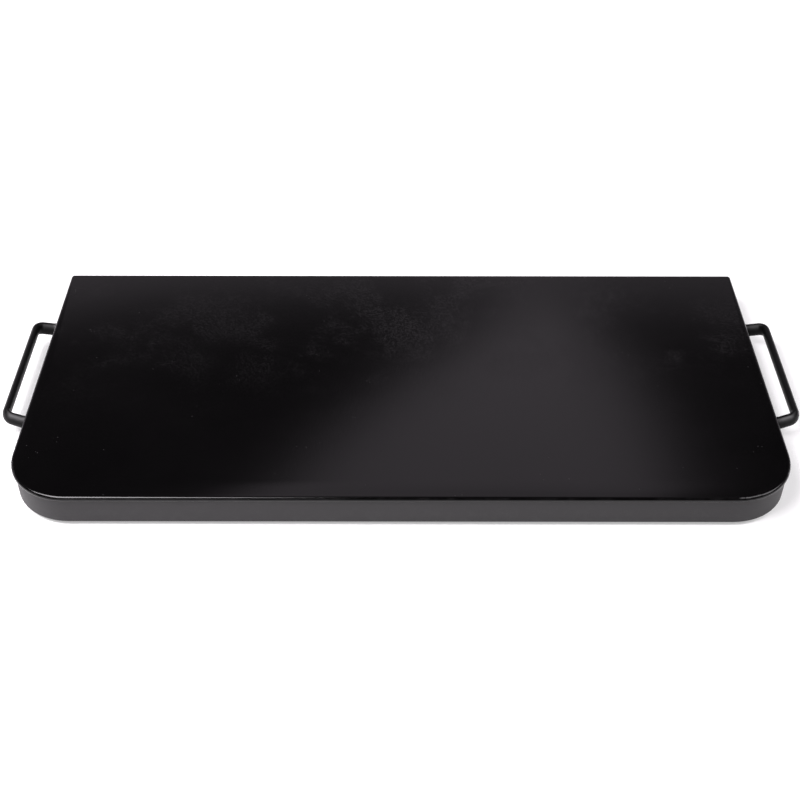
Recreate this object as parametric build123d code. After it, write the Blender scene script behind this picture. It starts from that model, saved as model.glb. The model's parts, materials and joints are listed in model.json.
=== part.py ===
from build123d import *
import os
from math import radians, tan

# Flat top griddle: a steel plate on a bent skirt, with two bar handles and four screw feet.
# Millimetres.  X runs left to right, Y front to back, Z up.  The origin is on the floor,
# under the middle of the plate.

# ---- driving dimensions: cooking plate ------------------------------------------------
plate_width = 762.0
plate_depth = 362.0
plate_thickness = 6.0
plate_front_radius = 62.0
plate_back_radius = 4.0
edge_land = 0.2                  # flat left between the two rounded halves of the edge

# ---- driving dimensions: skirt ---------------------------------------------------------
floor_gap = 5.0                  # air under the skirt when the feet are wound in
skirt_height = 27.3
skirt_wall = 3.0
skirt_inset = 2.0                # how far the plate overhangs the skirt
vent_count = 5                   # exhaust notches in the rear skirt
vent_width = 84.0
vent_height = 11.0
vent_radius = 4.0
vent_pitch = 122.0

# ---- driving dimensions: stiffening ribs ------------------------------------------------
rib_thickness = 4.0
rib_height = 20.0
rib_pitch = 188.0
rib_end_gap = 2.0                # room for the weld at each end
rib_end_chamfer = 12.0

# ---- driving dimensions: handles --------------------------------------------------------
handle_thickness = 8.4           # across the oval bar, in the plane of the loop
handle_height = 16.0             # along the oval's tall axis
handle_centre_y = 24.5           # behind the middle of the plate
handle_root_spacing = 155.0
handle_root_drop = 13.0          # from the underside of the plate to the bar's centre
handle_stub = 9.0                # level stretch where the bar leaves the skirt
handle_reach = 27.5              # from the skirt to the middle of the grip
handle_tilt = 15.0               # degrees that the loop rises outwards
handle_splay = 9.0               # degrees that each leg leans towards the other
handle_bend_radius = 8.5
stub_bend_radius = 16.0

# ---- driving dimensions: handle fixings -------------------------------------------------
backing_thickness = 3.0
backing_height = 18.0
backing_overlap = 14.0           # metal left past each screw
backing_corner = 4.0
screw_diameter = 5.0
screw_head_diameter = 9.5
screw_head_height = 2.8
screw_head_round = 1.7           # radius that makes the head a button
screw_length = 17.0              # under the head
screw_socket_across = 3.0
screw_socket_depth = 1.6
washer_diameter = 12.0
washer_thickness = 1.2

# ---- driving dimensions: feet -----------------------------------------------------------
foot_inset = 45.0                # from the skirt's inner faces to the foot's axis
stud_diameter = 8.0
stud_top_gap = 1.0               # from the stud's end to the plate
stud_flange_diameter = 13.0
stud_flange_height = 3.0
stud_slot_width = 1.2            # screwdriver slot in the stud's end
stud_slot_depth = 1.5
stud_end_chamfer = 0.8
boss_diameter = 20.0
nut_across_flats = 13.0
nut_height = 4.0
nut_cup_gap = 4.3                # between the jam nut and the foot's cup
cup_diameter = 26.0
cup_roof = 2.9                   # metal over the stud's flange
cup_edge_radius = 1.5
sole_diameter = 28.0
sole_thickness = 2.0
sole_edge_radius = 0.8

# ---- named clearances -------------------------------------------------------------------
screw_clearance = 0.25           # radial, where a screw passes through freely
thread_clearance = 0.05          # radial, where it is screwed in
running_clearance = 0.05         # radial, where a stud turns
flange_clearance = 0.05          # above and below the stud's flange
tapped_extra_depth = 1.5

# ---- levels and faces that follow from them ---------------------------------------------
skirt_bottom = floor_gap
plate_bottom = skirt_bottom + skirt_height
edge_round = (plate_thickness - edge_land) / 2
skirt_width = plate_width - 2 * skirt_inset
skirt_depth = plate_depth - 2 * skirt_inset
skirt_front_radius = plate_front_radius - skirt_inset
skirt_side = skirt_width / 2
inner_side = skirt_side - skirt_wall
inner_front = -skirt_depth / 2 + skirt_wall
inner_back = skirt_depth / 2 - skirt_wall
handle_root_z = plate_bottom - handle_root_drop
cup_pocket_height = stud_flange_height + 2 * flange_clearance
cup_height = cup_pocket_height + cup_roof
cup_top = sole_thickness + cup_height
nut_bottom = cup_top + nut_cup_gap
boss_bottom = nut_bottom + nut_height
boss_height = plate_bottom - boss_bottom
foot_x = inner_side - foot_inset
foot_places = {
    "front_left": (-foot_x, inner_front + foot_inset),
    "front_right": (foot_x, inner_front + foot_inset),
    "rear_left": (-foot_x, inner_back - foot_inset),
    "rear_right": (foot_x, inner_back - foot_inset),
}
rib_places = {"rib_left": -rib_pitch, "rib_centre": 0.0, "rib_right": rib_pitch}
sides = {"left": -1, "right": 1}


def on_level(z):
    """A horizontal plane at height z."""
    return Plane.XY.offset(z)


def disc(diameter, height, bottom, x=0.0, y=0.0):
    """An upright cylinder that stands at a given height."""
    return Pos(x, y, bottom) * extrude(Circle(diameter / 2), height)


def rounded_outline(width, depth, front_radius, back_radius):
    """A rectangle with one radius at its two front corners and one at the back."""
    outline = Rectangle(width, depth)
    if back_radius:
        outline = fillet(outline.vertices().group_by(Axis.Y)[-1], back_radius)
    return fillet(outline.vertices().group_by(Axis.Y)[0], front_radius)


def griddle_plate():
    """The thick cooking plate, its whole edge rounded over."""
    outline = rounded_outline(plate_width, plate_depth, plate_front_radius, plate_back_radius)
    plate = extrude(on_level(plate_bottom) * outline, plate_thickness)
    rims = plate.edges().group_by(Axis.Z)
    return fillet(rims[0] + rims[-1], edge_round)


def skirt_band():
    """One strip bent round the front, with a side wall running back from each corner."""
    outer = rounded_outline(skirt_width, skirt_depth, skirt_front_radius, 0)
    inner_width = skirt_width - 2 * skirt_wall
    inner = rounded_outline(inner_width, skirt_depth, skirt_front_radius - skirt_wall, 0)
    strip = outer - Pos(0, skirt_wall, 0) * inner
    band = extrude(on_level(skirt_bottom) * strip, skirt_height)
    return band - screw_holes(skirt_side - skirt_wall / 2, skirt_wall)


def screw_holes(middle, thickness):
    """The four holes for the handle screws, through walls that stand at x = +/- middle."""
    holes = []
    for side in sides.values():
        for y in handle_root_y():
            drill = Cylinder(screw_diameter / 2 + screw_clearance, 2 * thickness)
            holes.append(Pos(side * middle, y, handle_root_z) * Rot(0, 90, 0) * drill)
    return holes


def handle_root_y():
    """The front and rear place where a handle meets the skirt."""
    half = handle_root_spacing / 2
    return (handle_centre_y - half, handle_centre_y + half)


def rear_skirt():
    """The back wall, between the side walls, with exhaust notches along its lower edge."""
    width = 2 * inner_side
    wall = Pos(0, inner_back + skirt_wall / 2, skirt_bottom) * extrude(
        Rectangle(width, skirt_wall), skirt_height
    )
    for index in range(vent_count):
        x = (index - (vent_count - 1) / 2) * vent_pitch
        notch = Rectangle(vent_width, 2 * vent_height)
        notch = fillet(notch.vertices(), vent_radius)
        cutter = extrude(Plane.XZ * notch, skirt_wall, both=True)
        wall -= Pos(x, inner_back + skirt_wall / 2, skirt_bottom) * cutter
    return wall


def rib(x):
    """A flat bar on edge under the plate, its lower corners cut away."""
    length = inner_back - inner_front - 2 * rib_end_gap
    middle_y = (inner_back + inner_front) / 2
    face = Rectangle(length, rib_height)
    face = chamfer(face.vertices().group_by(Axis.Y)[0], rib_end_chamfer)
    bar = extrude(Plane.YZ * face, rib_thickness / 2, both=True)
    return Pos(x, middle_y, plate_bottom - rib_height / 2) * bar


def handle_path(side):
    """The centre line of a handle: level stub, rising leg, grip, and back the same way."""
    front_y, rear_y = handle_root_y()
    leg = handle_reach - handle_stub
    rise = leg * tan(radians(handle_tilt))
    lean = leg * tan(radians(handle_splay))
    wall_x = side * skirt_side
    stub_x = wall_x + side * handle_stub
    grip_x = wall_x + side * handle_reach
    grip_z = handle_root_z + rise
    corners = [
        (wall_x, front_y, handle_root_z),
        (stub_x, front_y, handle_root_z),
        (grip_x, front_y + lean, grip_z),
        (grip_x, rear_y - lean, grip_z),
        (stub_x, rear_y, handle_root_z),
        (wall_x, rear_y, handle_root_z),
    ]
    radii = [stub_bend_radius, handle_bend_radius, handle_bend_radius, stub_bend_radius]
    return FilletPolyline(*corners, radius=radii)


def handle(side):
    """An oval bar bent to a loop and tapped at both ends."""
    path = handle_path(side)
    front_y, rear_y = handle_root_y()
    start = Plane(origin=path @ 0, x_dir=(0, 1, 0), z_dir=(side, 0, 0))
    section = start * Ellipse(handle_thickness / 2, handle_height / 2)
    bar = sweep(section, path=path, transition=Transition.RIGHT)
    depth = screw_reach_in_handle() + tapped_extra_depth
    for y in (front_y, rear_y):
        drill = Cylinder(screw_diameter / 2 + thread_clearance, 2 * depth)
        bar -= Pos(side * skirt_side, y, handle_root_z) * Rot(0, 90, 0) * drill
    return bar


def screw_reach_in_handle():
    """How far a screw goes into the handle's end."""
    return screw_length - washer_thickness - backing_thickness - skirt_wall


def handle_backing(side):
    """A strip inside the skirt that spreads the handle's load."""
    length = handle_root_spacing + 2 * backing_overlap
    face = RectangleRounded(length, backing_height, backing_corner)
    middle = inner_side - backing_thickness / 2
    strip = extrude(Plane.YZ * face, backing_thickness / 2, both=True)
    strip = Pos(side * middle, handle_centre_y, handle_root_z) * strip
    return strip - screw_holes(middle, backing_thickness)


def handle_washers():
    """Four flat washers against the backing strips."""
    ring = Circle(washer_diameter / 2) - Circle(screw_diameter / 2 + screw_clearance)
    rings = []
    for side in sides.values():
        seat = inner_side - backing_thickness - washer_thickness
        for y in handle_root_y():
            washer = extrude(ring, washer_thickness)
            rings.append(Pos(side * seat, y, handle_root_z) * Rot(0, side * 90, 0) * washer)
    return Compound(children=rings)


def handle_screw():
    """A button-head screw along +Z, with the underside of its head at zero."""
    shank = Cylinder(
        screw_diameter / 2, screw_length, align=(Align.CENTER, Align.CENTER, Align.MIN)
    )
    head = Cylinder(
        screw_head_diameter / 2, screw_head_height, align=(Align.CENTER, Align.CENTER, Align.MAX)
    )
    head = fillet(head.edges().group_by(Axis.Z)[0], screw_head_round)
    hexagon = RegularPolygon(screw_socket_across / 2, 6, major_radius=False)
    socket = extrude(hexagon, screw_socket_depth)
    return shank + head - Pos(0, 0, -screw_head_height) * socket


def handle_screws():
    """Four screws that come from inside the skirt into the handles' ends."""
    screws = []
    for side in sides.values():
        seat = inner_side - backing_thickness - washer_thickness
        for y in handle_root_y():
            screws.append(Pos(side * seat, y, handle_root_z) * Rot(0, side * 90, 0) * handle_screw())
    return Compound(children=screws)


def foot_boss(x, y):
    """A tapped steel boss welded under the plate."""
    bore = 2 * (stud_diameter / 2 + thread_clearance)
    body = disc(boss_diameter, boss_height, boss_bottom, x, y)
    return body - disc(bore, boss_height, boss_bottom, x, y)


def foot_jam_nuts():
    """Four thin nuts, each locked up against its boss."""
    bore = Circle(stud_diameter / 2 + thread_clearance)
    flats = RegularPolygon(nut_across_flats / 2, 6, major_radius=False)
    nuts = []
    for x, y in foot_places.values():
        nuts.append(Pos(x, y, nut_bottom) * extrude(flats - bore, nut_height))
    return Compound(children=nuts)


def foot_stud(x, y):
    """A threaded stud whose flange turns inside the foot's cup."""
    flange_bottom = sole_thickness + flange_clearance
    flange = disc(stud_flange_diameter, stud_flange_height, flange_bottom, x, y)
    top = plate_bottom - stud_top_gap
    rod = disc(stud_diameter, top - flange_bottom, flange_bottom, x, y)
    rod = chamfer(rod.edges().group_by(Axis.Z)[-1], stud_end_chamfer)
    slot = Pos(x, y, top) * Box(2 * stud_diameter, stud_slot_width, 2 * stud_slot_depth)
    return flange + rod - slot


def foot_cup(x, y):
    """The foot's steel cup, which holds the stud's flange and lets it turn."""
    body = disc(cup_diameter, cup_height, sole_thickness, x, y)
    body = fillet(body.edges().group_by(Axis.Z)[-1], cup_edge_radius)
    pocket_diameter = stud_flange_diameter + 2 * running_clearance
    pocket = disc(pocket_diameter, cup_pocket_height, sole_thickness, x, y)
    neck = disc(stud_diameter + 2 * running_clearance, cup_height, sole_thickness, x, y)
    return body - pocket - neck


def foot_sole(x, y):
    """The rubber disc that stands on the floor."""
    sole = disc(sole_diameter, sole_thickness, 0.0, x, y)
    return fillet(sole.edges().group_by(Axis.Z)[0], sole_edge_radius)


def save(name, shape):
    """Write one node."""
    shape.label = name
    export_step(shape, f"parts/{name}.step")


os.makedirs("parts", exist_ok=True)
save("griddle_plate", griddle_plate())
save("skirt_band", skirt_band())
save("rear_skirt", rear_skirt())
for rib_name, rib_x in rib_places.items():
    save(rib_name, rib(rib_x))
for side_name, side_sign in sides.items():
    save(f"handle_{side_name}", handle(side_sign))
    save(f"handle_backing_{side_name}", handle_backing(side_sign))
save("handle_washers", handle_washers())
save("handle_screws", handle_screws())
save("foot_jam_nuts", foot_jam_nuts())
for place, (centre_x, centre_y) in foot_places.items():
    save(f"foot_boss_{place}", foot_boss(centre_x, centre_y))
    save(f"foot_stud_{place}", foot_stud(centre_x, centre_y))
    save(f"foot_cup_{place}", foot_cup(centre_x, centre_y))
    save(f"foot_sole_{place}", foot_sole(centre_x, centre_y))
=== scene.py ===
"""Flat top griddle: finished meshes, materials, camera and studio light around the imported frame."""

import json
import math

import bmesh
import bpy
from mathutils import Matrix, Vector


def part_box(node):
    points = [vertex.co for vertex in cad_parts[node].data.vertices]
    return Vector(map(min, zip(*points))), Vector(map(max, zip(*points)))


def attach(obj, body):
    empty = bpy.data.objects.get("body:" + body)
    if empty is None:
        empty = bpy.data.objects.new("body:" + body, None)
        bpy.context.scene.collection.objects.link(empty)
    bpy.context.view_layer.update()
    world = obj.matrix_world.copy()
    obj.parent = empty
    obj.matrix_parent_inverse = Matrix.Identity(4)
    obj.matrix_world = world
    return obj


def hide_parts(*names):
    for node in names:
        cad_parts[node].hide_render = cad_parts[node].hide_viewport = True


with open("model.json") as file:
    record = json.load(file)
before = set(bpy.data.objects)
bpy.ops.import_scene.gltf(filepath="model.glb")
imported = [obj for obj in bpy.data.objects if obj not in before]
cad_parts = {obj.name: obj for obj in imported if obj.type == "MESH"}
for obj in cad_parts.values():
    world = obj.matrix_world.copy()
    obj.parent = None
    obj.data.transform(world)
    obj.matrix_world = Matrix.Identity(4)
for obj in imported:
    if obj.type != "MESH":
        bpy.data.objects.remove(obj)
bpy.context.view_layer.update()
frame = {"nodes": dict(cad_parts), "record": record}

MM = 0.001

# ---- camera, from the place of the plate ------------------------------------------------
CAMERA_LENS = 57.066
CAMERA_SENSOR = 36.0
CAMERA_DISTANCE = 0.83968        # in front of the plate's front edge
CAMERA_HEIGHT = 0.85924          # above the middle of the plate's thickness
CAMERA_SIDE = -0.00169
CAMERA_PITCH = math.radians(41.105)
CAMERA_ROLL = math.radians(0.111)
CAMERA_YAW = math.radians(-0.041)

# ---- studio light, in the sine of the height above the horizon ----------------------------
ROOM_LEVEL = 0.01
BACKDROP_LEVEL = 0.92            # what the camera itself sees above the floor
HORIZON_LEVEL = 0.64
HORIZON_TOP = 0.572
HORIZON_FADE = 0.07              # below its top
HORIZON_BACK = (-0.1, 0.5)       # it rises from the sides to the back
HORIZON_DIP = 0.4                # its share that is lost on the right
HORIZON_DIP_SPAN = (0.03, 0.30)
REFLECTOR_LEVEL = 1.05
REFLECTOR_BEARING = 0.13         # to the right of straight back, as a tangent
REFLECTOR_FOOT = 0.543
REFLECTOR_FOOT_BELOW = 0.05
REFLECTOR_FOOT_ABOVE = 0.03
REFLECTOR_FLARE = 1.38
REFLECTOR_SOFT = 0.05
REFLECTOR_BACK = (0.0, 0.1)      # it hangs behind the griddle only
REFLECTOR_TOP = (0.80, 0.90)
STUDIO_TINT = (1.0, 0.90, 1.0, 1.0)
SOFTBOX_TINT = (1.0, 0.96, 1.0)
SOFTBOXES = {                    # place, aim, width and height, watts
    "key_left": ((-1.12, -0.42, 1.9), (-0.8, -0.2, 0.0), (1.55, 1.15), 108.0),
    "fill_right": ((1.9, -0.25, 1.8), (0.9, -0.1, 0.0), (1.3, 1.5), 36.0),
}

# ---- floor ----------------------------------------------------------------------------------
FLOOR_HALF = 9.0
FLOOR_GLOW = 0.45                # near the griddle; further out the floor meets the backdrop
FLOOR_GLOW_SPAN = (1.3, 3.0)

# ---- finishing sizes --------------------------------------------------------------------
SHEET_EDGE = 0.45 * MM           # bevel on cut sheet metal
SMALL_EDGE = 0.2 * MM            # bevel on nuts, washers, screws, bosses, cups and studs
EDGE_SEGMENTS = 2
SMOOTH_ANGLE = math.radians(32)
FLAT_ANGLE = math.radians(0.25)
MERGE = 0.002 * MM
LEVEL_GAP = 0.01 * MM            # points this close to a plane lie on it
RIM_SLOPE = 0.9                  # a normal's upright share, below which a point is on the plate's rim

# ---- welds under the plate ----------------------------------------------------------------
BEAD_RADIUS = 1.9 * MM
BEAD_BURIED = 0.55 * MM          # how far a bead's middle stands off each face
RIPPLE_STEP = 1.25 * MM
RIPPLE_SIZES = (0.9, 1.08)
RIPPLE_FLATNESS = 0.72           # along the bead, against across it
RIPPLE_SEED = 11
STITCH_LENGTH = 24 * MM
STITCH_PITCH = 62 * MM
RING_STEPS = 48
CORNER_STEPS = 16

# ---- studs, treads ------------------------------------------------------------------------
THREAD_PITCH = 1.25 * MM
THREAD_DEPTH = 0.60 * MM
THREAD_SIDES = 40
THREAD_ROWS = 8                  # rows of points to one turn
THREAD_STEEPNESS = 1.25          # of the flanks, against a plain V
THREAD_CREST = 0.12              # the share of the depth that flattens the crest
THREAD_TOP_GAP = 0.02 * MM
CORE_DEPTH = 1.04                # the turned-down rod's depth, against the thread's
FLANGE_SHARE = 0.2               # of a stud's height, surely above its flange
FLANGE_REACH = 1.1               # of the rod's radius, surely on its flange
TREAD_DEPTH = 0.45 * MM
LUG_PITCH = 3.4 * MM
LUG_RADIUS = 1.35 * MM
LUG_TAPER = 0.8
LUG_SIDES = 6
LUG_RINGS = 3

# ---- painted highlight on the handles: a paler band where a face turns up and forward -------
HIGHLIGHT_SIDE = Vector((0.0, -0.83, 0.56))    # up and forward
HIGHLIGHT_FALLOFF = 22

RIBS = ("rib_left", "rib_centre", "rib_right")
BACKING_STRIPS = ("handle_backing_left", "handle_backing_right")

places = [node.removeprefix("foot_sole_") for node in frame["nodes"] if node.startswith("foot_sole_")]
places.sort()
node_body = {
    node: body
    for body, nodes in frame["record"]["behaviour"]["bodies"].items()
    for node in nodes
}
node_slot = {part["node"]: part["material_slot"] for part in frame["record"]["subparts"]}


# =========================================================================================
# Node expressions
# =========================================================================================
def socket_named(sockets, key):
    """The socket with that identifier, or else with that name."""
    for socket in sockets:
        if socket.identifier == key:
            return socket
    return sockets[key]


class Signal:
    """A node's output that takes part in Python expressions on values."""

    def __init__(self, tree, socket):
        self.tree = tree
        self.socket = socket

    def __add__(self, other):
        return self.tree.calculate("ADD", self, other)

    def __radd__(self, other):
        return self.tree.calculate("ADD", other, self)

    def __sub__(self, other):
        return self.tree.calculate("SUBTRACT", self, other)

    def __rsub__(self, other):
        return self.tree.calculate("SUBTRACT", other, self)

    def __mul__(self, other):
        return self.tree.calculate("MULTIPLY", self, other)

    def __rmul__(self, other):
        return self.tree.calculate("MULTIPLY", other, self)

    def __truediv__(self, other):
        return self.tree.calculate("DIVIDE", self, other)

    def ramp(self, low, high):
        """0 below low, 1 above high, and smooth between them."""
        return self.tree.node(
            "ShaderNodeMapRange",
            {"interpolation_type": "SMOOTHSTEP"},
            {"Value": self, "From Min": low, "From Max": high},
        )


class Tree:
    """A node tree under construction."""

    def __init__(self, tree):
        self.tree = tree
        self.tree.nodes.clear()

    def node(self, kind, settings, inputs, output=0):
        """Adds a node: its settings first, then the values or links of its sockets."""
        made = self.tree.nodes.new(kind)
        for key, value in settings.items():
            setattr(made, key, value)
        for key, value in inputs.items():
            target = socket_named(made.inputs, key)
            if isinstance(value, Signal):
                self.tree.links.new(value.socket, target)
            else:
                target.default_value = value
        if not made.outputs:
            return None
        found = made.outputs[output] if isinstance(output, int) else socket_named(made.outputs, output)
        return Signal(self, found)

    def calculate(self, operation, *values):
        """One step of arithmetic on one or two values."""
        inputs = dict(zip(("Value", "Value_001"), values))
        return self.node("ShaderNodeMath", {"operation": operation}, inputs)

    def part_of(self, vector, axis):
        """A vector's part along X, Y or Z."""
        return self.node("ShaderNodeSeparateXYZ", {}, {"Vector": vector}, axis)


class Shading(Tree):
    """The node tree of a material or of the studio's surround."""

    def __init__(self, owner, coordinates):
        owner.use_nodes = True
        self.owner = owner
        super().__init__(owner.node_tree)
        self.place = self.node("ShaderNodeTexCoord", {}, {}, coordinates)

    def noise(self, scale, detail=2.0, roughness=0.5, distortion=0.0):
        """Noise on the piece's own coordinates, with scale in features a metre."""
        values = {"Vector": self.place, "Scale": scale, "Detail": detail}
        values.update({"Roughness": roughness, "Distortion": distortion})
        return self.node("ShaderNodeTexNoise", {}, values, "Fac")

    def cells(self, scale):
        """Distance to the nearest of many scattered points, with scale in points a metre."""
        return self.node("ShaderNodeTexVoronoi", {}, {"Vector": self.place, "Scale": scale}, "Distance")

    def mix(self, amount, first, second):
        """A colour between two colours."""
        return self.node(
            "ShaderNodeMix",
            {"data_type": "RGBA"},
            {"Factor_Float": amount, "A_Color": first, "B_Color": second},
            "Result_Color",
        )

    def attribute(self, name):
        """A value that the mesh carries."""
        return self.node("ShaderNodeAttribute", {"attribute_name": name}, {}, "Fac")

    def bump(self, height, strength, distance):
        """A normal from a height."""
        values = {"Height": height, "Strength": strength, "Distance": distance}
        return self.node("ShaderNodeBump", {}, values, "Normal")


class Finish(Shading):
    """A material, from its name to its one principled surface."""

    def __init__(self, name):
        super().__init__(bpy.data.materials.new(name), "Object")

    def surface(self, inputs):
        """Ends the material in one principled surface."""
        shader = self.node("ShaderNodeBsdfPrincipled", {}, inputs)
        self.node("ShaderNodeOutputMaterial", {}, {"Surface": shader})
        return self.owner


class Pattern(Tree):
    """A Geometry Nodes tree with named sizes, from its incoming mesh to its finished one."""

    SIZES = {float: "NodeSocketFloat", int: "NodeSocketInt"}

    def __init__(self, name, sizes):
        super().__init__(bpy.data.node_groups.new(name, "GeometryNodeTree"))
        self.name = name
        self.keys = {}
        self.sizes = sizes
        self.add_socket("Geometry", "INPUT", "NodeSocketGeometry")
        for label, value in sizes.items():
            self.keys[label] = self.add_socket(label, "INPUT", self.SIZES[type(value)])
        self.keys["Finish"] = self.add_socket("Finish", "INPUT", "NodeSocketMaterial")
        self.add_socket("Geometry", "OUTPUT", "NodeSocketGeometry")
        self.incoming = self.tree.nodes.new("NodeGroupInput")

    def add_socket(self, label, direction, kind):
        """Adds one of the tree's own sockets and returns the key that a modifier knows it by."""
        return self.tree.interface.new_socket(label, in_out=direction, socket_type=kind).identifier

    def given(self, label):
        """One of the tree's own inputs."""
        return Signal(self, self.incoming.outputs[label])

    def vector(self, x, y, z):
        """A vector from its three parts."""
        return self.node("ShaderNodeCombineXYZ", {}, {"X": x, "Y": y, "Z": z})

    def join(self, *parts):
        """Several geometries as one."""
        joined = self.tree.nodes.new("GeometryNodeJoinGeometry")
        for part in parts:
            self.tree.links.new(part.socket, joined.inputs["Geometry"])
        return Signal(self, joined.outputs["Geometry"])

    def end(self, geometry):
        """Realizes instances, gives the finish and closes the tree."""
        real = self.node("GeometryNodeRealizeInstances", {}, {"Geometry": geometry})
        dressed = {"Geometry": real, "Material": self.given("Finish")}
        done = self.node("GeometryNodeSetMaterial", {}, dressed)
        self.node("NodeGroupOutput", {}, {"Geometry": done})
        return self

    def grow(self, name, mesh, finish, **sizes):
        """Runs the tree on a mesh and keeps the result as a plain piece."""
        piece = new_piece(name, mesh)
        modifier = piece.modifiers.new(self.name, "NODES")
        modifier.node_group = self.tree
        for label, value in {**self.sizes, **sizes}.items():
            modifier[self.keys[label]] = value
        modifier[self.keys["Finish"]] = finish
        return apply_modifiers(piece)


def grey(value, warmth=0.0):
    """A near-neutral colour, with a little more red and blue than green if warmth is above 0."""
    return (value * (1 + warmth), value * (1 - warmth), value * (1 + warmth), 1.0)


def plate_black():
    """Black cooking surface: orange peel, mottling, specks, grainy patches at the back, rubbed rim."""
    f = Finish("plate_black")
    peel = f.noise(620.0, 2.0, 0.45)
    towards_back = f.part_of(f.place, "Y").ramp(-0.10, 0.06)
    patches = f.noise(17.0, 4.0, 0.65).ramp(0.42, 0.62) * towards_back
    grain = f.noise(560.0, 2.0, 0.7).ramp(0.50, 0.66) * patches
    pores = f.noise(2300.0, 1.0)
    mottle = f.noise(9.0, 4.0, 0.6)
    wipe = f.noise(2.6, 3.0, 0.5, 1.2)
    specks = 1.0 - f.cells(170.0).ramp(0.05, 0.10)
    sparse = specks * f.noise(31.0, 1.0).ramp(0.60, 0.68)
    rim = f.attribute("rim") * f.noise(85.0, 3.0, 0.6).ramp(0.42, 0.74)
    tone = f.mix(mottle, grey(0.0008, 0.03), grey(0.0018, 0.04))
    tone = f.mix(grain * 0.45, tone, grey(0.0065, 0.02))
    tone = f.mix(sparse * 0.3, tone, grey(0.08))
    tone = f.mix(rim * 0.15, tone, grey(0.030, 0.02))
    rough = 0.145 + 0.04 * (wipe - 0.5) + 0.04 * (mottle - 0.5) + 0.16 * sparse + 0.05 * rim
    height = peel * 0.5 + grain * 0.8 + pores * 0.2 + sparse * 0.5
    return f.surface({
        "Base Color": tone,
        "Roughness": rough,
        "Specular IOR Level": 0.26,
        "Normal": f.bump(height, 0.30, 0.10 * MM),
    })


def skirt_black():
    """Powder coat on bent sheet: coarser orange peel, rubbed along its lower edge."""
    f = Finish("skirt_black")
    peel = f.noise(480.0, 2.0, 0.5)
    fine = f.noise(1900.0, 1.0)
    patch = f.noise(9.0, 2.0, 0.5)
    rubbed = f.attribute("rim") * f.noise(120.0, 3.0, 0.65).ramp(0.45, 0.72)
    tone = f.mix(patch, grey(0.026, 0.03), grey(0.030, 0.03))
    tone = f.mix(rubbed * 0.2, tone, grey(0.075))
    rough = 0.50 + 0.04 * (patch - 0.5) + 0.07 * rubbed
    return f.surface({
        "Base Color": tone,
        "Roughness": rough,
        "Specular IOR Level": 0.28,
        "Normal": f.bump(peel * 0.7 + fine * 0.3, 0.38, 0.12 * MM),
    })


def handle_black():
    """Satin black on the handles, polished where held, with a painted highlight: paler on the faces of the
    legs that turn up and forward.
    """
    f = Finish("handle_black")
    peel = f.noise(700.0, 2.0, 0.5)
    held = f.attribute("held") * f.noise(38.0, 3.0, 0.6).ramp(0.30, 0.75)
    patch = f.noise(46.0, 3.0, 0.6)
    tone = f.mix(patch, grey(0.002, 0.02), grey(0.004, 0.02))
    tone = f.mix(held * 0.3, tone, grey(0.008))
    # painted highlight: paler colour where the normal turns up and forward
    tone = f.mix(f.attribute("painted_highlight"), tone, grey(0.105))
    rough = 0.40 + 0.06 * (patch - 0.5) - 0.05 * held
    return f.surface({
        "Base Color": tone,
        "Roughness": rough,
        "Specular IOR Level": 0.08,
        "Normal": f.bump(peel, 0.30, 0.09 * MM),
    })


def weld_black():
    """Weld bead under the same coat, rougher and a little lighter on its ripples."""
    f = Finish("weld_black")
    grain = f.noise(900.0, 2.0)
    tone = f.mix(grain, grey(0.010), grey(0.024))
    return f.surface({
        "Base Color": tone,
        "Roughness": 0.42 + 0.12 * (grain - 0.5),
        "Normal": f.bump(grain, 0.35, 0.1 * MM),
    })


def zinc():
    """Bright zinc plate with a faint blue and straw bloom and fine scratches."""
    f = Finish("zinc")
    bloom = f.noise(120.0, 2.0, 0.5, 0.6)
    grain = f.noise(2600.0, 2.0)
    tone = f.mix(bloom.ramp(0.35, 0.65), (0.60, 0.61, 0.66, 1.0), (0.68, 0.64, 0.55, 1.0))
    return f.surface({
        "Base Color": tone,
        "Metallic": 1.0,
        "Roughness": 0.30 + 0.12 * (bloom - 0.5) + 0.06 * (grain - 0.5),
        "Normal": f.bump(grain, 0.15, 0.04 * MM),
    })


def cup_steel():
    """Turned stainless steel, a little dull."""
    f = Finish("cup_steel")
    turned = f.noise(1500.0, 3.0, 0.7)
    cloud = f.noise(90.0, 2.0)
    tone = f.mix(cloud, (0.50, 0.50, 0.51, 1.0), (0.63, 0.63, 0.63, 1.0))
    return f.surface({
        "Base Color": tone,
        "Metallic": 1.0,
        "Roughness": 0.34 + 0.12 * (turned - 0.5),
        "Normal": f.bump(turned, 0.18, 0.03 * MM),
    })


def sole_rubber():
    """Matt black rubber with a dusty bloom."""
    f = Finish("sole_rubber")
    dust = f.noise(160.0, 4.0, 0.65)
    skin = f.noise(1800.0, 2.0)
    tone = f.mix(dust.ramp(0.45, 0.75), grey(0.018), grey(0.042))
    return f.surface({
        "Base Color": tone,
        "Roughness": 0.78 + 0.10 * (dust - 0.5),
        "Normal": f.bump(skin, 0.30, 0.08 * MM),
    })


def floor_white():
    """The pale studio floor, a translucent table lit from below, more so far out."""
    f = Finish("floor_white")
    tone = f.mix(f.noise(1.3, 2.0), grey(0.55), grey(0.57))
    distance = f.node("ShaderNodeVectorMath", {"operation": "LENGTH"}, {"Vector": f.place}, "Value")
    return f.surface({
        "Base Color": tone,
        "Roughness": 0.9,
        "Specular IOR Level": 0.0,
        "Emission Color": f.mix(distance.ramp(*FLOOR_GLOW_SPAN), grey(FLOOR_GLOW), grey(BACKDROP_LEVEL)),
        "Emission Strength": 1.0,
    })


materials = {
    "cooking_surface": plate_black(),
    "black_coat": skirt_black(),
    "handle_coat": handle_black(),
    "zinc": zinc(),
    "foot_cup": cup_steel(),
    "foot_rubber": sole_rubber(),
    "weld": weld_black(),
}


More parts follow.
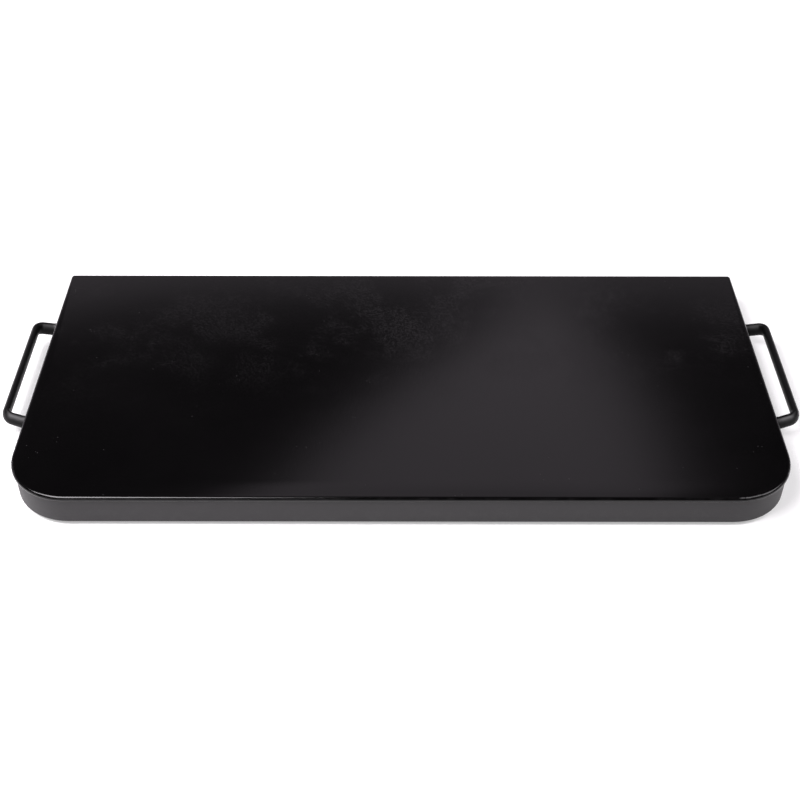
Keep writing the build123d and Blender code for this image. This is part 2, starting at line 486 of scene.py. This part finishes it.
# =========================================================================================
# Meshes
# =========================================================================================
def new_piece(name, mesh):
    """An object at the origin with that mesh."""
    piece = bpy.data.objects.new(name, mesh)
    bpy.context.scene.collection.objects.link(piece)
    return piece


def merged_copy(node):
    """A welded copy of a CAD node's mesh, with its flat faces whole again."""
    mesh = frame["nodes"][node].data.copy()
    mesh.materials.clear()
    work = bmesh.new()
    work.from_mesh(mesh)
    bmesh.ops.remove_doubles(work, verts=work.verts, dist=MERGE)
    bmesh.ops.dissolve_limit(
        work, angle_limit=FLAT_ANGLE, verts=work.verts, edges=work.edges, use_dissolve_boundaries=False
    )
    for face in work.faces:
        face.smooth = True
        face.material_index = 0
    for edge in work.edges:
        edge.smooth = len(edge.link_faces) == 2 and edge.calc_face_angle(math.pi) < SMOOTH_ANGLE
    work.to_mesh(mesh)
    work.free()
    return mesh


def apply_modifiers(piece):
    """Turns a piece and its modifiers into one plain mesh."""
    graph = bpy.context.evaluated_depsgraph_get()
    mesh = bpy.data.meshes.new_from_object(piece.evaluated_get(graph))
    piece.modifiers.clear()
    old = piece.data
    piece.data = mesh
    bpy.data.meshes.remove(old)
    mesh.name = piece.name
    return piece


def finish_edges(piece, width):
    """Rounds the sharp edges and keeps the flats flat."""
    bevel = piece.modifiers.new("edges", "BEVEL")
    bevel.width = width
    bevel.segments = EDGE_SEGMENTS
    bevel.limit_method = "ANGLE"
    bevel.angle_limit = SMOOTH_ANGLE
    bevel.use_clamp_overlap = True
    bevel.harden_normals = True
    return apply_modifiers(piece)


def hand_over(piece, node):
    """The piece stands for a CAD node: it takes that node's body and the material of its slot, and the
    node is hidden.
    """
    if not piece.data.materials:
        piece.data.materials.append(materials[node_slot[node]])
    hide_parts(node)
    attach(piece, node_body[node])


def mark(piece, name, rule):
    """Stores a value from 0 to 1 on each point, worked out from its place and normal."""
    values = piece.data.attributes.new(name, "FLOAT", "POINT")
    for vertex in piece.data.vertices:
        values.data[vertex.index].value = rule(vertex.co, vertex.normal)


def finished_node(node, edge):
    """A CAD node's shape as its own piece, with rounded edges unless edge is 0."""
    piece = new_piece(f"{node}_finished", merged_copy(node))
    if edge:
        finish_edges(piece, edge)
    return piece


def poly_mesh(name, paths):
    """A mesh of open or closed chains of edges: (points, closed) each."""
    points, edges = [], []
    for path, closed in paths:
        first = len(points)
        points.extend(path)
        edges.extend((first + i, first + i + 1) for i in range(len(path) - 1))
        if closed:
            edges.append((len(points) - 1, first))
    mesh = bpy.data.meshes.new(name)
    mesh.from_pydata(points, edges, [])
    return mesh


def rod_radius(mesh, middle, top):
    """The largest reach of a stud's rod from its axis, over its upper half."""
    reach = 0.0
    for vertex in mesh.vertices:
        if middle.z < vertex.co.z < top:
            reach = max(reach, math.hypot(vertex.co.x - middle.x, vertex.co.y - middle.y))
    return reach


def thread_start(mesh, middle, radius):
    """The height where a stud's rod leaves its flange."""
    wide = [
        vertex.co.z for vertex in mesh.vertices
        if math.hypot(vertex.co.x - middle.x, vertex.co.y - middle.y) > radius * FLANGE_REACH
    ]
    return max(wide)


def straight_half(mesh, front):
    """Half the length of the skirt's straight front run."""
    return max(abs(vertex.co.x) for vertex in mesh.vertices if abs(vertex.co.y - front) < LEVEL_GAP)


# ---- what repeats --------------------------------------------------------------------------
def stitch_weld():
    """Overlapping ripples along a path, in stitches of one length at one pitch."""
    p = Pattern("stitch_weld", {
        "Bead Radius": BEAD_RADIUS,
        "Ripple Step": RIPPLE_STEP,
        "Stitch Length": STITCH_LENGTH,
        "Stitch Pitch": STITCH_PITCH,
        "Seed": RIPPLE_SEED,
    })
    curve = p.node("GeometryNodeMeshToCurve", {}, {"Mesh": p.given("Geometry")})
    steps = p.node(
        "GeometryNodeResampleCurve", {"mode": "LENGTH"}, {"Curve": curve, "Length": p.given("Ripple Step")}
    )
    along = p.node("GeometryNodeSplineParameter", {}, {}, "Length")
    in_stitch = p.calculate("FLOORED_MODULO", along, p.given("Stitch Pitch"))
    welded = p.calculate("LESS_THAN", in_stitch, p.given("Stitch Length"))
    drop = p.node("GeometryNodeMeshIcoSphere", {}, {"Radius": p.given("Bead Radius"), "Subdivisions": 2})
    drop = p.node("GeometryNodeSetShadeSmooth", {}, {"Geometry": drop, "Shade Smooth": True})
    tangent = p.node("GeometryNodeInputTangent", {}, {})
    turn = p.node("FunctionNodeAlignRotationToVector", {"axis": "Z"}, {"Vector": tangent})
    smallest, largest = RIPPLE_SIZES
    size = p.node(
        "FunctionNodeRandomValue",
        {"data_type": "FLOAT"},
        {"Min_001": smallest, "Max_001": largest, "Seed": p.given("Seed")},
        "Value_001",
    )
    ripples = p.node("GeometryNodeInstanceOnPoints", {}, {
        "Points": steps,
        "Selection": welded,
        "Instance": drop,
        "Rotation": turn,
        "Scale": p.vector(size, size, size * RIPPLE_FLATNESS),
    })
    return p.end(ripples)


def screw_thread():
    """A V thread with chamfered ends, round the Z axis and centred on the origin.

    Its radius, height and rows are given for each stud.
    """
    p = Pattern("screw_thread", {
        "Radius": 1.0,
        "Depth": THREAD_DEPTH,
        "Pitch": THREAD_PITCH,
        "Height": 1.0,
        "Sides": THREAD_SIDES,
        "Rows": 1,
    })
    radius = p.given("Radius")
    depth = p.given("Depth")
    height = p.given("Height")
    rod = p.node("GeometryNodeMeshCylinder", {}, {
        "Vertices": p.given("Sides"),
        "Side Segments": p.given("Rows"),
        "Radius": radius,
        "Depth": height,
    })
    place = p.node("GeometryNodeInputPosition", {}, {})
    x, y, z = (p.part_of(place, axis) for axis in "XYZ")
    angle = p.calculate("ARCTAN2", y, x)
    turns = z / p.given("Pitch") - angle / (2 * math.pi)
    phase = p.calculate("FRACT", turns)
    wave = p.calculate("ABSOLUTE", 2.0 * phase - 1.0)
    flank = THREAD_STEEPNESS * wave - THREAD_CREST
    groove = p.node("ShaderNodeClamp", {}, {"Value": flank, "Min": 0.0, "Max": 1.0})
    cut = radius - depth * groove
    from_end = height * 0.5 - p.calculate("ABSOLUTE", z)
    chamfer = radius - depth + from_end
    lower = p.calculate("MINIMUM", cut, chamfer)
    share = lower / radius
    shaped = p.node("GeometryNodeSetPosition", {}, {
        "Geometry": rod,
        "Position": p.vector(x * share, y * share, z),
    })
    return p.end(shaped)


def sole_tread():
    """Hexagonal lugs in rings round the Z axis, standing on the floor."""
    p = Pattern("sole_tread", {
        "Lug Pitch": LUG_PITCH,
        "Lug Radius": LUG_RADIUS,
        "Lug Height": 2 * TREAD_DEPTH,
    })
    lug = p.node("GeometryNodeMeshCone", {}, {
        "Vertices": LUG_SIDES,
        "Radius Top": p.given("Lug Radius"),
        "Radius Bottom": p.given("Lug Radius") * LUG_TAPER,
        "Depth": p.given("Lug Height"),
    })
    rings = [lug]
    for ring in range(1, LUG_RINGS + 1):
        circle = p.node("GeometryNodeMeshCircle", {}, {
            "Vertices": LUG_SIDES * ring,
            "Radius": p.given("Lug Pitch") * ring,
        })
        rings.append(p.node("GeometryNodeInstanceOnPoints", {}, {"Points": circle, "Instance": lug}))
    return p.end(p.join(*rings))


# ---- the plate ---------------------------------------------------------------------------
def make_plate():
    """The cooking plate, with its rim marked for its finish."""
    piece = finished_node("griddle_plate", 0)
    mark(piece, "rim", lambda place, normal: 1.0 if abs(normal.z) < RIM_SLOPE else 0.0)
    hand_over(piece, "griddle_plate")


# ---- skirt, ribs and backing strips -------------------------------------------------------
def make_sheet_parts():
    """Everything cut from sheet, with the skirt's lower edge marked for its finish."""
    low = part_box("skirt_band")[0].z
    for node in ("skirt_band", "rear_skirt", *RIBS, *BACKING_STRIPS):
        piece = finished_node(node, SHEET_EDGE)
        mark(piece, "rim", lambda place, normal: 1.0 if place.z < low + 2 * SHEET_EDGE else 0.0)
        hand_over(piece, node)


# ---- handles -----------------------------------------------------------------------------
def make_handles():
    """Both handles, marked where hands hold them and where a highlight is painted."""
    for side in ("left", "right"):
        node = f"handle_{side}"
        piece = finished_node(node, 0)
        low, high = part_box(node)
        outer = max(abs(low.x), abs(high.x))
        inner = min(abs(low.x), abs(high.x))
        reach = outer - inner
        mark(piece, "held", lambda place, normal: min(1.0, max(0.0, (abs(place.x) - inner) / reach)))
        # painted highlight mask: 1 where the normal faces up and forward, falling off steeply
        mark(piece, "painted_highlight", lambda place, normal: max(0.0, normal.dot(HIGHLIGHT_SIDE)) ** HIGHLIGHT_FALLOFF)
        hand_over(piece, node)


# ---- fixings and feet ----------------------------------------------------------------------
def make_fixings():
    """Screws, washers, nuts, and the bosses and cups of the feet."""
    for node in ("handle_screws", "handle_washers", "foot_jam_nuts"):
        hand_over(finished_node(node, SMALL_EDGE), node)
    for place in places:
        for node in (f"foot_boss_{place}", f"foot_cup_{place}"):
            hand_over(finished_node(node, SMALL_EDGE), node)


def slot_and_ride(piece, like):
    """A piece with no CAD node of its own rides on the body of one that it sits on."""
    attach(piece, node_body[like])


def make_studs():
    """Each stud keeps its flange; its rod is turned down and carries a cut thread."""
    thread = screw_thread()
    for place in places:
        node = f"foot_stud_{place}"
        low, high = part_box(node)
        middle = (low + high) / 2
        piece = finished_node(node, SMALL_EDGE)
        radius = rod_radius(piece.data, middle, high.z)
        core = radius - THREAD_DEPTH * CORE_DEPTH
        for vertex in piece.data.vertices:
            out = Vector((vertex.co.x - middle.x, vertex.co.y - middle.y))
            if vertex.co.z > low.z + FLANGE_SHARE * (high.z - low.z) and out.length > core:
                out *= core / out.length
                vertex.co.x = middle.x + out.x
                vertex.co.y = middle.y + out.y
        hand_over(piece, node)
        flange_top = thread_start(frame["nodes"][node].data, middle, radius)
        height = high.z - flange_top - THREAD_TOP_GAP
        rows = round(THREAD_ROWS * height / THREAD_PITCH)
        cut = thread.grow(
            f"{node}_thread", bpy.data.meshes.new("thread_seed"), materials[node_slot[node]],
            Radius=radius, Height=height, Rows=rows,
        )
        cut.data.transform(Matrix.Translation((middle.x, middle.y, flange_top + height / 2)))
        slot_and_ride(cut, node)


def make_soles():
    """Rubber soles with a moulded tread that reaches down to the floor."""
    tread = sole_tread()
    for place in places:
        node = f"foot_sole_{place}"
        low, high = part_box(node)
        middle = (low + high) / 2
        piece = finished_node(node, 0)
        for vertex in piece.data.vertices:
            vertex.co.z = max(vertex.co.z, low.z + TREAD_DEPTH)
        hand_over(piece, node)
        lugs = tread.grow(f"{node}_tread", bpy.data.meshes.new("tread_seed"), materials[node_slot[node]])
        lugs.data.transform(Matrix.Translation((middle.x, middle.y, low.z)))
        slot_and_ride(lugs, node)


# ---- welds ---------------------------------------------------------------------------------
def line(start, end):
    """A straight open path."""
    return ([start, end], False)


def front_corners(inside, front, run, z):
    """Points round the inside of both front corners, from the left wall to the right one."""
    corner = inside - run
    left = []
    for step in range(CORNER_STEPS + 1):
        angle = math.pi / 2 * step / CORNER_STEPS
        left.append((-run - corner * math.cos(angle), front + corner * (1 - math.sin(angle)), z))
    return left + [(-x, y, z) for x, y, z in reversed(left)]


def make_seam_welds(weld, z):
    """Stitch welds along skirt, rear wall and ribs under the plate, and down the two back corners."""
    band_low, band_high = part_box("skirt_band")
    rear_low, rear_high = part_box("rear_skirt")
    wall = rear_high.y - rear_low.y
    inside = band_high.x - wall - BEAD_BURIED
    front = band_low.y + wall + BEAD_BURIED
    back = rear_low.y - BEAD_BURIED
    run = straight_half(frame["nodes"]["skirt_band"].data, band_low.y)
    seam = [(-inside, back, z)] + front_corners(inside, front, run, z) + [(inside, back, z)]
    paths = [(seam, False), line((-inside, back, z), (inside, back, z))]
    for side in (-1, 1):
        paths.append(line((side * inside, back, z), (side * inside, back, band_low.z)))
    for node in RIBS:
        low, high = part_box(node)
        for x in (low.x - BEAD_BURIED, high.x + BEAD_BURIED):
            paths.append(line((x, low.y, z), (x, high.y, z)))
    piece = weld.grow("seam_welds", poly_mesh("seams", paths), materials["weld"])
    slot_and_ride(piece, "skirt_band")


def make_boss_welds(weld, z):
    """A full bead round each boss: one stitch longer than the pitch never breaks off."""
    rings = []
    for place in places:
        low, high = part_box(f"foot_boss_{place}")
        middle = (low + high) / 2
        radius = (high.x - low.x) / 2 + BEAD_BURIED
        turn = [2 * math.pi * step / RING_STEPS for step in range(RING_STEPS)]
        ring = [(middle.x + radius * math.cos(a), middle.y + radius * math.sin(a), z) for a in turn]
        rings.append((ring, True))
    unbroken = {"Stitch Length": 2 * STITCH_PITCH}
    piece = weld.grow("boss_welds", poly_mesh("boss_rings", rings), materials["weld"], **unbroken)
    slot_and_ride(piece, "skirt_band")


def make_welds():
    """All beads, just under the plate."""
    weld = stitch_weld()
    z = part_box("griddle_plate")[0].z - BEAD_BURIED
    make_seam_welds(weld, z)
    make_boss_welds(weld, z)


make_plate()
make_sheet_parts()
make_handles()
make_fixings()
make_studs()
make_soles()
make_welds()


# =========================================================================================
# Stage
# =========================================================================================
def make_camera():
    """The camera, placed from the plate."""
    low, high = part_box("griddle_plate")
    place = Vector((CAMERA_SIDE, low.y - CAMERA_DISTANCE, (low.z + high.z) / 2 + CAMERA_HEIGHT))
    data = bpy.data.cameras.new("camera")
    data.lens = CAMERA_LENS
    data.sensor_width = CAMERA_SENSOR
    camera = bpy.data.objects.new("camera", data)
    bpy.context.scene.collection.objects.link(camera)
    turn = (
        Matrix.Rotation(CAMERA_YAW, 4, "Z")
        @ Matrix.Rotation(math.pi / 2 - CAMERA_PITCH, 4, "X")
        @ Matrix.Rotation(CAMERA_ROLL, 4, "Z")
    )
    camera.matrix_world = Matrix.Translation(place) @ turn
    bpy.context.scene.camera = camera


def make_floor():
    """A wide pale floor under the feet."""
    mesh = bpy.data.meshes.new("floor")
    corners = [(x * FLOOR_HALF, y * FLOOR_HALF, 0) for x, y in ((-1, -1), (1, -1), (1, 1), (-1, 1))]
    mesh.from_pydata(corners, [], [(0, 1, 2, 3)])
    mesh.materials.append(floor_white())
    floor = new_piece("floor", mesh)


def add_softbox(name, place, aim, size, power):
    """A rectangular soft light at a place, turned to aim."""
    data = bpy.data.lights.new(name, "AREA")
    data.shape = "RECTANGLE"
    data.size, data.size_y = size
    data.energy = power
    data.color = SOFTBOX_TINT
    light = bpy.data.objects.new(name, data)
    bpy.context.scene.collection.objects.link(light)
    light.location = place
    light.rotation_mode = "QUATERNION"
    light.rotation_quaternion = (Vector(aim) - Vector(place)).to_track_quat("-Z", "Y")


def make_world():
    """A dark studio with a pale horizon and one tall soft reflector, wider towards its top."""
    world = bpy.data.worlds.new("studio")
    w = Shading(world, "Generated")
    across, back, height = (w.part_of(w.place, axis) for axis in "XYZ")
    horizon = 1.0 - height.ramp(HORIZON_TOP - HORIZON_FADE, HORIZON_TOP)
    horizon = horizon * back.ramp(*HORIZON_BACK)
    horizon = horizon * (1.0 - HORIZON_DIP * across.ramp(*HORIZON_DIP_SPAN))
    bearing = across / back
    half_width = (height - REFLECTOR_FOOT) * REFLECTOR_FLARE
    outside = w.calculate("ABSOLUTE", bearing - REFLECTOR_BEARING) - half_width
    reflector = (1.0 - outside.ramp(-REFLECTOR_SOFT, REFLECTOR_SOFT)) * back.ramp(*REFLECTOR_BACK)
    reflector = reflector * height.ramp(
        REFLECTOR_FOOT - REFLECTOR_FOOT_BELOW, REFLECTOR_FOOT + REFLECTOR_FOOT_ABOVE
    )
    reflector = reflector * (1.0 - height.ramp(*REFLECTOR_TOP))
    glow = ROOM_LEVEL + HORIZON_LEVEL * horizon + REFLECTOR_LEVEL * reflector
    seen = w.node("ShaderNodeLightPath", {}, {}, "Is Camera Ray")
    level = glow * (1.0 - seen) + BACKDROP_LEVEL * seen
    tint = w.mix(seen, STUDIO_TINT, grey(1.0))
    background = w.node("ShaderNodeBackground", {}, {"Color": tint, "Strength": level})
    w.node("ShaderNodeOutputWorld", {}, {"Surface": background})
    bpy.context.scene.world = world


make_camera()
make_floor()
make_world()
for softbox, settings in SOFTBOXES.items():
    add_softbox(softbox, *settings)
bpy.context.scene.view_settings.view_transform = "Standard"
